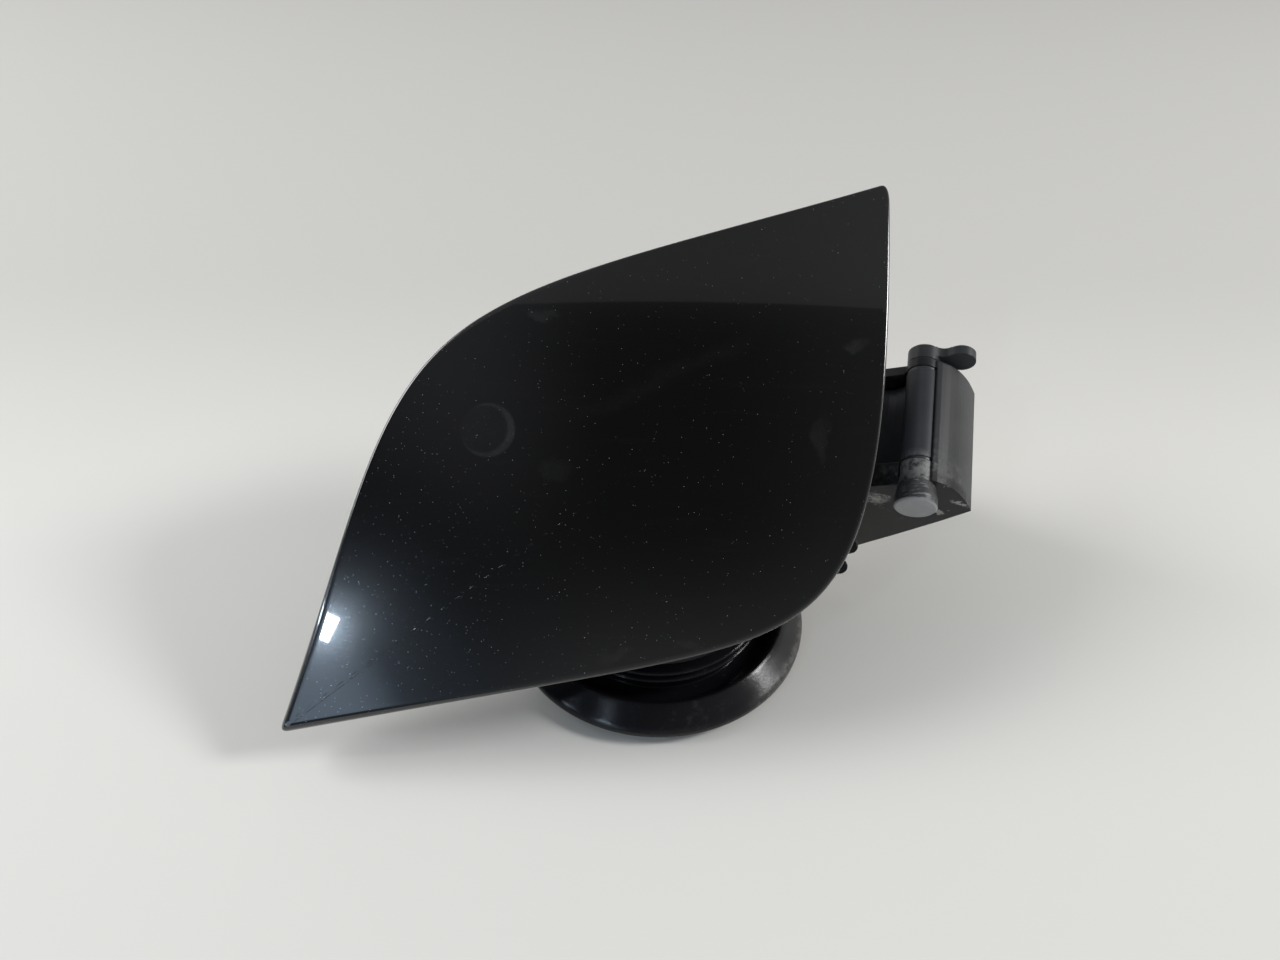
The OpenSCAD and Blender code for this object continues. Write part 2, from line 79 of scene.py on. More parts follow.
class Wire:
    """An output socket that takes part in arithmetic."""

    def __init__(self, tree, socket):
        self.tree = tree
        self.socket = socket

    def _math(self, operation, first, second=None):
        sockets = {0: first} if second is None else {0: first, 1: second}
        return self.tree.add("ShaderNodeMath", {"operation": operation}, sockets)["Value"]

    def __add__(self, other):
        return self._math("ADD", self, other)

    def __radd__(self, other):
        return self._math("ADD", other, self)

    def __sub__(self, other):
        return self._math("SUBTRACT", self, other)

    def __rsub__(self, other):
        return self._math("SUBTRACT", other, self)

    def __mul__(self, other):
        return self._math("MULTIPLY", self, other)

    def __rmul__(self, other):
        return self._math("MULTIPLY", other, self)

    def __truediv__(self, other):
        return self._math("DIVIDE", self, other)

    def __pow__(self, other):
        return self._math("POWER", self, other)

    def at_most(self, other):
        return self._math("MINIMUM", self, other)

    def at_least(self, other):
        return self._math("MAXIMUM", self, other)

    def unsigned(self):
        return self._math("ABSOLUTE", self)


class Piece:
    """One node of a tree, whose outputs are read by name."""

    def __init__(self, tree, node):
        self.tree = tree
        self.node = node

    def __getitem__(self, name):
        for socket in self.node.outputs:
            if name in (socket.identifier, socket.name):
                return Wire(self.tree, socket)
        raise KeyError(name)


class Tree:
    """The node tree of a material or world."""

    def __init__(self, owner):
        owner.use_nodes = True
        self.nodes = owner.node_tree.nodes
        self.links = owner.node_tree.links
        self.nodes.clear()

    def add(self, kind, settings=None, sockets=None):
        node = self.nodes.new(kind)
        for name, value in (settings or {}).items():
            setattr(node, name, value)
        for name, value in (sockets or {}).items():
            target = self._input(node, name)
            if isinstance(value, Wire):
                self.links.new(value.socket, target)
            elif hasattr(value, "__len__") and target.type == "RGBA" and len(value) == 3:
                target.default_value = (*value, 1.0)
            else:
                target.default_value = value
        return Piece(self, node)

    def _input(self, node, name):
        if isinstance(name, int):
            return node.inputs[name]
        for socket in node.inputs:
            if name == socket.identifier:
                return socket
        return node.inputs[name]

    def place(self):
        """The point in the row's frame, in metres, which stays on its piece as it moves."""
        return self.add("ShaderNodeTexCoord")["Object"]

    def along(self, vector, way):
        """How far a vector reaches in a fixed direction of length one."""
        sockets = {0: vector, 1: tuple(way)}
        return self.add("ShaderNodeVectorMath", {"operation": "DOT_PRODUCT"}, sockets)["Value"]

    def length(self, vector):
        return self.add("ShaderNodeVectorMath", {"operation": "LENGTH"}, {0: vector})["Value"]

    def parts(self, vector):
        split = self.add("ShaderNodeSeparateXYZ", None, {"Vector": vector})
        return split["X"], split["Y"], split["Z"]

    def noise(self, vector, scale, detail, rough):
        return self.add(
            "ShaderNodeTexNoise",
            {"noise_dimensions": "3D"},
            {"Vector": vector, "Scale": scale, "Detail": detail, "Roughness": rough},
        )["Fac"]

    def step(self, value, low, high):
        """0 below low, 1 above high, smooth between; falls where low is above high."""
        return self.add(
            "ShaderNodeMapRange",
            {"interpolation_type": "SMOOTHSTEP", "clamp": True},
            {"Value": value, "From Min": low, "From Max": high},
        )["Result"]

    def blend(self, share, first, second):
        return self.add(
            "ShaderNodeMix",
            {"data_type": "RGBA"},
            {"Factor_Float": share, "A_Color": first, "B_Color": second},
        )["Result_Color"]

    def stretched(self, vector, factors, turn=(0, 0, 0)):
        return self.add(
            "ShaderNodeMapping",
            {"vector_type": "POINT"},
            {"Vector": vector, "Scale": factors, "Rotation": turn},
        )["Vector"]

    def bump(self, height, strength, depth, normal=None):
        sockets = {"Height": height, "Strength": strength, "Distance": depth}
        if normal is not None:
            sockets["Normal"] = normal
        return self.add("ShaderNodeBump", None, sockets)["Normal"]

    def soft_edges(self, radius):
        return self.add("ShaderNodeBevel", {"samples": 6}, {"Radius": radius})["Normal"]


def new_finish(name):
    """A material, its tree and a way to close it with its shader's sockets."""
    material = bpy.data.materials.new(name)
    tree = Tree(material)

    def close(sockets):
        shader = tree.add("ShaderNodeBsdfPrincipled", None, sockets)
        tree.add("ShaderNodeOutputMaterial", None, {"Surface": shader["BSDF"]})
        return material

    return tree, close


def shaded(colour, level):
    """The colour made lighter or darker by a factor."""
    return tuple(part * level for part in colour)


def door_place(tree, point):
    """The point's two coordinates in the door's plane, in metres."""
    x, y, z = tree.parts(point)
    across = x - DOOR_CENTRE.x
    up = (y - DOOR_CENTRE.y) * math.cos(DOOR_SLOPE) + (z - DOOR_CENTRE.z) * math.sin(DOOR_SLOPE)
    return across, up


def from_pin_head(tree, point):
    """The way from the centre of the pin head's face to the point."""
    sockets = {0: point, 1: tuple(PIN_HEAD)}
    return tree.add("ShaderNodeVectorMath", {"operation": "SUBTRACT"}, sockets)["Vector"]


def along_pin(tree, point):
    """Distance from the pin head's face along the pin, and the plain distance from its centre."""
    offset = from_pin_head(tree, point)
    return tree.along(offset, PIN_AXIS), tree.length(offset)


def across_pin(tree, point):
    """The point's place across the pin: to its right and down into the body, in metres."""
    offset = from_pin_head(tree, point)
    return tree.along(offset, PIN_SIDE), tree.along(offset, PIN_DOWN)


def spot(tree, place, centre, size, soft):
    """1 inside an ellipse, falling to 0 at its edge; place in metres, centre and half sizes in mm."""
    across, up = place
    dx = (across - centre[0] * MM) / (size[0] * MM)
    dy = (up - centre[1] * MM) / (size[1] * MM)
    return tree.step(dx * dx + dy * dy, 1.0, soft)


# Fingerprints and rubbed patches on the paint: centre, half sizes in mm and strength
PAINT_MARKS = (
    ((-31, 37), (5, 2), 1.0),
    ((52, 29), (3.4, 2), 1.0),
    ((42, 3), (3, 10), 0.8),
    ((-28, -5), (6, 3.4), 0.6),
    ((7, -50), (4, 1.6), 0.7),
    ((-12, -53), (7, 2), 0.7),
)
# The round smudge, and the slightly shifted spot that leaves its ring; the ring is a real mark, and its
# wider right side is a painted highlight of its lit edge
SMUDGE = ((-45.5, 5.5), (7.6, 7.6))
SMUDGE_MIDDLE = ((-46.6, 5.8), (6.9, 6.9))
HAND_FILM = (0.09, 0.092, 0.094)


def gloss_paint(s):
    """Black clear-coated paint with fine flakes painted as bright glints, denser towards the low tip, hand
    marks, and a round smudge whose ring is wider on its right as a painted highlight of its lit edge.
    """
    tree, close = new_finish("gloss_paint")
    point = tree.place()
    place = door_place(tree, point)
    across, up = place
    cells = tree.add("ShaderNodeTexVoronoi", {"feature": "F1"}, {"Vector": point, "Scale": s.flake_scale})
    red, green, _ = tree.parts(cells["Color"])
    # Painted glints: flakes shown as bright dots in the colour, more of them towards the low tip where the
    # window's light falls
    glints_towards_low_tip = tree.step(across + up * 0.6, 0.0, -0.13)
    chosen = tree.step(red + glints_towards_low_tip * 0.026, 0.988, 0.994)
    flake_glint = chosen * tree.step(cells["Distance"], 0.4, 0.16) * (green * 0.6 + 0.2)
    cloud = tree.noise(point, 22, 4, 0.55)
    film = tree.noise(point, 75, 5, 0.65)
    blur = tree.noise(point, 190, 4, 0.6)
    wipe = tree.noise(tree.stretched(point, (6, 60, 60), (0.7, 0.2, 0.5)), 6, 3, 0.6)
    smudge = spot(tree, place, *SMUDGE, 0.8)
    # The ring's wider right side is a painted highlight
    ring = smudge - spot(tree, place, *SMUDGE_MIDDLE, 0.7)
    # The marks' outlines are broken up by noise
    loose = across + (blur - 0.5) * 0.009, up + (film - 0.5) * 0.012
    marks = sum(spot(tree, loose, centre, size, 0.0) * strength for centre, size, strength in PAINT_MARKS)
    ridge = (loose[1] - across * 0.5 - 0.019).unsigned()
    streak = tree.step(ridge, 0.004, 0.0)
    streak = streak * tree.step(across, -0.03, -0.012) * tree.step(across, 0.03, 0.012)
    haze = (smudge * 0.12 + ring.at_least(0) * 0.42 + marks * 0.3 + streak * 0.1) * (blur * 1.1 + 0.1)
    haze = haze + tree.step(wipe, 0.56, 0.75) * 0.04 + tree.step(film, 0.6, 0.8) * 0.03
    haze = haze.at_most(1)
    body = tree.blend(cloud, s.paint_deep, s.paint_light)
    body = tree.blend(haze * 0.5, body, HAND_FILM)
    body = tree.blend(flake_glint, body, s.flake_glint_colour)
    return close(
        {
            "Base Color": body,
            "Metallic": (1 - haze * 0.6) * (1 - flake_glint),
            "Roughness": s.paint_rough + haze * 0.2 + (cloud - 0.5) * 0.05,
            "Coat Weight": 1 - haze * 0.25,
            "Coat Roughness": 0.025,
            "Coat IOR": 1.5,
            "Normal": tree.bump(film, 0.03, 0.0002),
        }
    )


def black_plastic(name, s, scuffs, grain=1.0, pale=1.0, sheen=0.32, rubbed_end_and_ridge_highlight=0.0):
    """Moulded black plastic with fine grain and pale scratches.

    The rubbed end setting pales the knuckle's lower end, and also all else that lies as low along the pin;
    the same setting paints a highlight in a strip along the knuckle's front-left.
    """
    tree, close = new_finish(name)
    point = tree.place()
    grains = tree.noise(point, 2400, 3, 0.6)
    cloud = tree.noise(point, 60, 4, 0.6)
    dust = tree.noise(point, 420, 5, 0.7)
    scratch = tree.noise(tree.stretched(point, (12, 160, 90), (0.3, 0.9, 0.4)), 14, 4, 0.7)
    crossing = tree.noise(tree.stretched(point, (140, 14, 110), (1.1, 0.2, 0.7)), 11, 4, 0.7)
    line = tree.step(scratch, 0.66, 0.74) + tree.step(crossing, 0.68, 0.76)
    patch = tree.step(cloud, 0.5, 0.68)
    worn = (line * (0.25 + patch) * 0.5 + patch * tree.step(dust, 0.5, 0.72) * 0.45) * scuffs
    along, _ = along_pin(tree, point)
    near_end = tree.step(along, KNUCKLE_START + 0.0028, KNUCKLE_START - 0.0007)
    band = near_end * tree.step(dust, 0.34, 0.6) * rubbed_end_and_ridge_highlight
    side, _ = across_pin(tree, point)
    # Painted highlight: a pale strip down the knuckle's front-left, where its round side catches the light
    ridge = tree.step(side, -0.0045, -0.003) * tree.step(side, -0.0005, -0.002)
    worn = (worn + ridge * rubbed_end_and_ridge_highlight * 0.35).at_most(1)
    colour = tree.blend(cloud, shaded(s.plastic_dark, pale), shaded(s.plastic_light, pale))
    colour = tree.blend(worn, colour, s.scuff_colour)
    colour = tree.blend(band * 0.5, colour, s.chalk_and_glint_colour)
    rounded = tree.soft_edges(0.00045)
    return close(
        {
            "Base Color": colour,
            "Roughness": 0.4 + worn * 0.25 + (dust - 0.5) * 0.12,
            "Specular IOR Level": sheen,
            "Normal": tree.bump(grains * 0.6 + worn * 0.4, 0.12 * grain, 0.0002, rounded),
        }
    )


# Painted shade: near black that darkens the pocket's lower face, which faces down away from the light
LOWER_FACE_SHADE = (0.003, 0.003, 0.0035)


def housing_plastic(s):
    """The pocket and bowl's plastic: dusty outer wall, painted shade on the lower face, chalky marks and
    two painted glints by the pin's head.
    """
    tree, close = new_finish("housing_plastic_worn_and_shaded")
    point = tree.place()
    along, reach = along_pin(tree, point)
    across = across_pin(tree, point)
    x, _, _ = tree.parts(point)
    grains = tree.noise(point, 2200, 3, 0.6)
    cloud = tree.noise(point, 55, 4, 0.6)
    dust = tree.noise(point, 500, 6, 0.72)
    scratch = tree.noise(tree.stretched(point, (14, 150, 80), (0.35, 0.8, 0.3)), 14, 5, 0.7)
    line = tree.step(scratch, 0.62, 0.72)
    near_head = tree.step(reach, 0.024, 0.008)
    rubbed = near_head * tree.step(dust, 0.42, 0.62)
    patch = tree.step(cloud, 0.46, 0.66)
    wall = tree.step(along, LOWER_FACE + 0.0017, LOWER_FACE + 0.0037)
    worn = line * (0.2 + patch * 0.6) * 0.6 + patch * tree.step(dust, 0.48, 0.7) * 0.3 + rubbed * 0.6
    worn = worn + wall * tree.step(x, 0.072, 0.09) * (0.1 + cloud * 0.4)
    worn = worn.at_most(0.85)

    # Chalk specks near the head, marks beside it on the lower face, two painted glints by the lower face's
    # right corner, and the boss's scuffed end
    specks = tree.step(tree.noise(point, 240, 4, 0.75), 0.62, 0.7)
    specks = near_head * specks * tree.step(along, 0.016, 0.006)
    loose = across[0] + (dust - 0.5) * 0.006, across[1] + (dust - 0.5) * 0.008
    beside = spot(tree, loose, (-8.6, 11.5), (5.2, 4.2), 0.1) * tree.step(dust, 0.38, 0.58) * 0.75
    # Painted glints: two small bright spots by the lower face's right corner
    corner = spot(tree, loose, (13.6, 5), (2.6, 1.2), 0.3)
    corner = corner + spot(tree, loose, (10.2, 12.5), (1.8, 1.4), 0.3)
    boss = spot(tree, across, (0, 0), (5, 5), 0.9) * tree.step(along, BOSS_END + 0.0006, BOSS_END - 0.0004)
    boss = boss * tree.step(dust, 0.3, 0.56)
    chalk_and_glints = (specks + (beside + corner * 0.7) * (1 - wall) + boss * 0.42).at_most(1)

    colour = tree.blend(cloud, s.plastic_dark, s.plastic_light)
    colour = tree.blend(worn, colour, s.scuff_colour)
    # Painted shade: the lower face, off the wall, is blended towards near black
    colour = tree.blend((1 - wall) * 0.7, colour, LOWER_FACE_SHADE)
    colour = tree.blend(chalk_and_glints, colour, s.chalk_and_glint_colour)
    rounded = tree.soft_edges(0.0006)
    return close(
        {
            "Base Color": colour,
            "Roughness": 0.36 + worn * 0.25 + (dust - 0.5) * 0.14,
            "Specular IOR Level": 0.22,
            "Normal": tree.bump(grains * 0.5 + worn * 0.5, 0.16, 0.0002, rounded),
        }
    )


# Dark nicks in the pin's head
PIN_NICK = (0.04, 0.042, 0.045)


def pin_plastic(s):
    """Plastic of the pin: its head's face rubbed pale grey, its side dark and scuffed."""
    tree, close = new_finish("pin_grey_worn")
    point = tree.place()
    along, _ = along_pin(tree, point)
    cloud = tree.noise(point, 260, 4, 0.6)
    nick = tree.step(tree.noise(point, 900, 3, 0.7), 0.63, 0.72)
    swirl = tree.noise(tree.stretched(point, (40, 400, 200), (0.5, 0.3, 0.2)), 4, 4, 0.7)
    side = tree.step(along + (cloud - 0.5) * 0.0006, 0.0002, 0.0008)
    rubbed = tree.step(swirl + cloud * 0.4, 0.72, 0.86)
    colour = tree.blend(cloud, s.pin_dark, s.pin_light)
    colour = tree.blend(side * (1 - rubbed * 0.45), colour, s.pin_side)
    colour = tree.blend(nick * 0.5, colour, PIN_NICK)
    rounded = tree.soft_edges(0.0004)
    return close(
        {
            "Base Color": colour,
            "Roughness": 0.42 + (swirl - 0.5) * 0.3 + nick * 0.1,
            "Specular IOR Level": 0.35,
            "Normal": tree.bump(cloud * 0.5 + swirl * 0.5, 0.12, 0.0002, rounded),
        }
    )


def seal_rubber(s):
    """Black rubber with a soft sheen, fine ripples, and a grey film and scuffs on the flange's right."""
    tree, close = new_finish("seal_rubber_worn")
    point = tree.place()
    x, y, z = tree.parts(point)
    from_axis = (x * x + y * y) ** 0.5
    fine = tree.noise(point, 1500, 3, 0.6)
    cloud = tree.noise(point, 70, 4, 0.6)
    dust = tree.noise(point, 360, 6, 0.75)
    rim = tree.step(from_axis, FLANGE_R - 0.0025, FLANGE_R - 0.0005)
    rim = rim * tree.step(z, FLANGE_EDGE + 0.0025, FLANGE_EDGE)
    flange = tree.step(from_axis, CONE_R - 0.00375, CONE_R - 0.00075)
    flange = flange * tree.step(z, CONE_TOP + 0.0006, CONE_TOP - 0.0009)
    right = tree.step(x, 0.02, 0.038)
    scuffed = right * (0.12 + tree.step(dust, 0.4, 0.66) * 0.3) + tree.step(dust, 0.64, 0.78) * 0.08
    scuffed = rim * scuffed
    film = tree.step(cloud, 0.5, 0.7) * tree.step(dust, 0.5, 0.8) * 0.12 + flange * right * cloud * 0.14
    worn = (scuffed + film).at_most(1)
    colour = tree.blend(cloud, s.rubber_dark, s.rubber_light)
    colour = tree.blend(worn, colour, s.rubber_dust)
    rounded = tree.soft_edges(0.0011)
    return close(
        {
            "Base Color": colour,
            "Roughness": 0.15 + worn * 0.6 + (cloud - 0.5) * 0.08,
            "Specular IOR Level": 0.26,
            "Normal": tree.bump(fine * 0.4 + cloud * 0.6, 0.16, 0.0004, rounded),
        }
    )


# Dull spots on steel, and soil on small plastic pieces
DULL_STEEL = (0.2, 0.19, 0.18)
SOIL = (0.05, 0.048, 0.045)


def bright_steel(name, tint, rough):
    """Plain steel with drawn marks and a few dull spots."""
    tree, close = new_finish(name)
    point = tree.place()
    drawn = tree.noise(tree.stretched(point, (30, 500, 500)), 5, 4, 0.6)
    dull = tree.step(tree.noise(point, 180, 4, 0.7), 0.55, 0.7)
    colour = tree.blend(drawn, shaded(tint, 0.75), tint)
    colour = tree.blend(dull * 0.5, colour, DULL_STEEL)
    return close(
        {
            "Base Color": colour,
            "Metallic": 1.0,
            "Roughness": rough + (drawn - 0.5) * 0.2 + dull * 0.15,
            "Normal": tree.bump(drawn, 0.08, 0.0001, tree.soft_edges(0.0002)),
        }
    )


def pale_plastic(name, dark, light):
    """Smooth plastic of small moving parts, a little soiled."""
    tree, close = new_finish(name)
    point = tree.place()
    cloud = tree.noise(point, 300, 4, 0.6)
    soil = tree.step(tree.noise(point, 700, 4, 0.7), 0.56, 0.7)
    colour = tree.blend(soil * 0.5, tree.blend(cloud, dark, light), SOIL)
    return close(
        {
            "Base Color": colour,
            "Roughness": 0.38 + soil * 0.2,
            "Normal": tree.bump(cloud, 0.06, 0.0002, tree.soft_edges(0.0002)),
        }
    )


def dress(material, *nodes):
    """Gives CAD nodes their finish."""
    for name in nodes:
        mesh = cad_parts[name].data
        mesh.materials.clear()
        mesh.materials.append(material)


# The door's skin


def bezier(points, share):
    """The point at a share of the way along the curve with these control points."""
    work = [Vector(p) for p in points]
    while len(work) > 1:
        work = [a.lerp(b, share) for a, b in zip(work, work[1:])]
    return work[0]


# The leaf's tips and the control points of its two long sides, in mm
LOW_TIP = (-98.5, -72.5)
HIGH_TIP = (63.5, 76)
TOP_SIDE = (LOW_TIP, (-89, -45), (-68, 24), (-80, 41), (-26, 46), HIGH_TIP)
UNDER_SIDE = (HIGH_TIP, (63, 66), (57, -71), (53, -43), (5, -54), LOW_TIP)
TIP_RADIUS = 2.0
# How far a tip's rounding reaches along a side, as a share of its radius
TIP_REACH = 1.45
SIDE_STEPS = 90
TIP_STEPS = 8
# The rim's roll grows by this share within this reach of the low tip, in mm
RIM_GROWTH = 1.6
RIM_REACH = 85
ROLL_STEPS = 8
# The turned edge: its depth, its wall and the depth where its plain side starts
EDGE_DEPTH = 6
EDGE_WALL = 1.6
EDGE_START = 3.2
SKIN_WALL = 2.5
# Roundings of the edge's foot and of the corner between the edge and the skin's underside
FOOT_ROUND = 0.35
CORNER_ROUND = 0.5
# Distance from the centre to the leaf's long sides, for insets made by scaling
HALF_WIDTH = 53
# Places of the studs, and their radii with their depths below the skin's face
STUDS = ((-72, -50), (-50, -44), (-53, 18.5), (30, 54), (50, 62), (24, -28), (-18, 30))
STUD_LEVELS = ((1.8, 2.45), (1.8, 6.6), (1.45, 7.1), (1.0, 7.2))
STUD_SIDES = 20


def leaf_outline():
    """The leaf's outline in mm, anticlockwise: two curves of degree five with rounded tips."""
    degree = len(TOP_SIDE) - 1
    ends = [(curve[i], curve[i + 1]) for curve in (TOP_SIDE, UNDER_SIDE) for i in (0, degree - 1)]
    near = [TIP_REACH * TIP_RADIUS / (degree * (Vector(b) - Vector(a)).length) for a, b in ends]

    def side(curve, first, last):
        steps = SIDE_STEPS
        return [bezier(curve, first + (last - first) * i / steps) for i in range(1, steps)]

    def tip(a, corner, b):
        return [bezier((a, corner, b), i / TIP_STEPS) for i in range(TIP_STEPS + 1)]

    top_ends = bezier(TOP_SIDE, near[0]), bezier(TOP_SIDE, 1 - near[1])
    under_ends = bezier(UNDER_SIDE, near[2]), bezier(UNDER_SIDE, 1 - near[3])
    path = tip(top_ends[1], HIGH_TIP, under_ends[0]) + side(UNDER_SIDE, near[2], 1 - near[3])
    path += tip(under_ends[1], LOW_TIP, top_ends[0]) + side(TOP_SIDE, near[0], 1 - near[1])
    return path[::-1]


def moved_in(outline, depths):
    """The outline moved inwards along its own normals, by a depth for each point."""
    count = len(outline)
    result = []
    for i, point in enumerate(outline):
        along = (outline[(i + 1) % count] - outline[i - 1]).normalized()
        result.append(point + Vector((-along.y, along.x)) * depths[i])
    return result


def scaled_in(outline, depth):
    """The outline shrunk about the centre, by the depth where a long side is."""
    return [point * (1 - depth / HALF_WIDTH) for point in outline]


def rim_radii(outline, edge):
    """Radius of the rolled rim at each point in mm, which widens towards the low tip but fits into it."""
    radii = []
    for point in outline:
        away = (point - Vector(LOW_TIP)).length
        near = max(0.0, 1 - away / RIM_REACH)
        wide = edge * (1 + RIM_GROWTH * near * near * (3 - 2 * near))
        room = 0.8 * TIP_RADIUS + 0.25 * away
        radii.append(min(wide, room))
    return radii


def crown(x, y, radius):
    """Height of the crowned face, which is 0 at its centre."""
    return math.sqrt(radius * radius - x * x - y * y) - radius


def skin_mesh(s):
    """Crowned leaf with a rounded rim, a turned edge and a plain underside; one closed mesh."""
    outline = leaf_outline()
    radius = s.crown_radius / MM
    radii = rim_radii(outline, s.edge_radius / MM)
    rows = []

    def row(points, *drops):
        """A ring below the crown: by one drop for all its points, or by a drop for each."""
        each = drops * len(points) if len(drops) == 1 else drops
        rows.append([(p.x, p.y, crown(p.x, p.y, radius) - drop) for p, drop in zip(points, each)])

    base = moved_in(outline, radii)
    for share in [i / 26 for i in range(1, 26)] + [0.985]:
        row([p * share for p in base], 0)
    for i in range(ROLL_STEPS + 1):
        angle = math.radians(90 * i / ROLL_STEPS)
        points = moved_in(outline, [r * (1 - math.sin(angle)) for r in radii])
        row(points, *[r * (1 - math.cos(angle)) for r in radii])
    row(outline, EDGE_START)
    row(outline, EDGE_DEPTH - FOOT_ROUND)
    row(moved_in(outline, [FOOT_ROUND] * len(outline)), EDGE_DEPTH)
    inner = scaled_in(outline, EDGE_WALL)
    row(scaled_in(inner, -FOOT_ROUND), EDGE_DEPTH)
    row(inner, EDGE_DEPTH - FOOT_ROUND)
    row(inner, SKIN_WALL + CORNER_ROUND)
    row(scaled_in(inner, CORNER_ROUND), SKIN_WALL)
    for share in (0.8, 0.6, 0.4, 0.2, 0.05):
        row([p * share for p in inner], SKIN_WALL)

    mesh = bmesh.new()
    rings = [[mesh.verts.new(Vector(p) * MM) for p in ring] for ring in rows]
    count = len(outline)
    for upper, lower in zip(rings, rings[1:]):
        for i in range(count):
            j = (i + 1) % count
            mesh.faces.new((upper[i], lower[i], lower[j], upper[j]))
    mesh.faces.new(rings[0])
    mesh.faces.new(list(reversed(rings[-1])))
    for x, y in STUDS:
        add_stud(mesh, x, y, crown(x, y, radius))
    bmesh.ops.recalc_face_normals(mesh, faces=mesh.faces)
    return mesh


def add_stud(mesh, x, y, top):
    """A stud with a rounded end that takes a push nut."""
    turns = [math.tau * i / STUD_SIDES for i in range(STUD_SIDES)]
    rings = []
    for radius, depth in STUD_LEVELS:
        points = [(x + radius * math.cos(turn), y + radius * math.sin(turn), top - depth) for turn in turns]
        rings.append([mesh.verts.new(Vector(point) * MM) for point in points])
    for upper, lower in zip(rings, rings[1:]):
        for i in range(STUD_SIDES):
            j = (i + 1) % STUD_SIDES
            mesh.faces.new((upper[i], upper[j], lower[j], lower[i]))
    mesh.faces.new(rings[0])
    mesh.faces.new(list(reversed(rings[-1])))


def place_on_door(mesh):
    """Turns a mesh made in the door's frame into the row's frame."""
    place = Matrix.Translation(DOOR_CENTRE) @ DOOR_TURN.to_4x4()
    bmesh.ops.transform(mesh, matrix=place, verts=mesh.verts)


def new_object(name, mesh, material, body):
    """An object made of the mesh, smooth, with its finish, that rides on a body of the frame."""
    data = bpy.data.meshes.new(name)
    mesh.to_mesh(data)
    mesh.free()
    data.materials.append(material)
    data.polygons.foreach_set("use_smooth", [True] * len(data.polygons))
    made = bpy.data.objects.new(name, data)
    bpy.context.scene.collection.objects.link(made)
    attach(made, body)
    return made


# Settings


def colour_of(name, words, default):
    return FloatVectorProperty(
        name=name, description=words, default=default, subtype="COLOR", min=0, max=1, size=3
    )


def length_of(name, words, default):
    return FloatProperty(
        name=name, description=words, default=default, unit="LENGTH", subtype="DISTANCE", precision=5
    )


def power_of(name, words, default):
    return FloatProperty(name=name, description=words, default=default, unit="POWER", min=0)


class FUELDOOR_PG_finish(bpy.types.PropertyGroup):
    """Colours and grain of the finishes."""

    paint_deep: colour_of("Deep paint", "Paint where it is darkest", (0.027, 0.0272, 0.027))
    paint_light: colour_of("Light paint", "Paint where its flakes lie flat", (0.036, 0.037, 0.039))
    # Colour of the flakes' painted glints
    flake_glint_colour: colour_of("Flakes", "Flakes that catch the light", (0.55, 0.68, 0.8))
    flake_scale: FloatProperty(
        name="Flake cells", description="Flake cells per metre", default=3500, min=200
    )
    paint_rough: FloatProperty(
        name="Flake spread", description="Roughness under the clear coat", default=0.155, min=0, max=1
    )
    plastic_dark: colour_of("Dark plastic", "Moulded plastic in its hollows", (0.009, 0.0095, 0.0105))
    plastic_light: colour_of("Light plastic", "Moulded plastic on its faces", (0.021, 0.022, 0.0245))
    scuff_colour: colour_of("Scuffs", "Rubbed plastic", (0.11, 0.113, 0.117))
    # Also the colour of the painted glints by the pin's head
    chalk_and_glint_colour: colour_of("Chalk", "Chalky scuffs round the pin", (0.42, 0.42, 0.41))
    pin_dark: colour_of("Dark pin", "Pin head where it is rubbed", (0.25, 0.257, 0.262))
    pin_light: colour_of("Light pin", "Pin head's face", (0.36, 0.367, 0.372))
    pin_side: colour_of("Pin side", "Pin head's scuffed side", (0.035, 0.036, 0.038))
    rubber_dark: colour_of("Dark rubber", "Rubber in its folds", (0.004, 0.004, 0.0055))
    rubber_light: colour_of("Light rubber", "Rubber on its faces", (0.008, 0.008, 0.010))
    rubber_dust: colour_of("Rubber scuffs", "Dusty, scraped rubber", (0.22, 0.215, 0.2))


class FUELDOOR_PG_skin(bpy.types.PropertyGroup):
    """Form of the painted skin."""

    crown_radius: length_of("Crown radius", "Radius of the skin's crown", 1.2)
    edge_radius: length_of("Edge radius", "Radius of the skin's rolled rim", 0.0008)


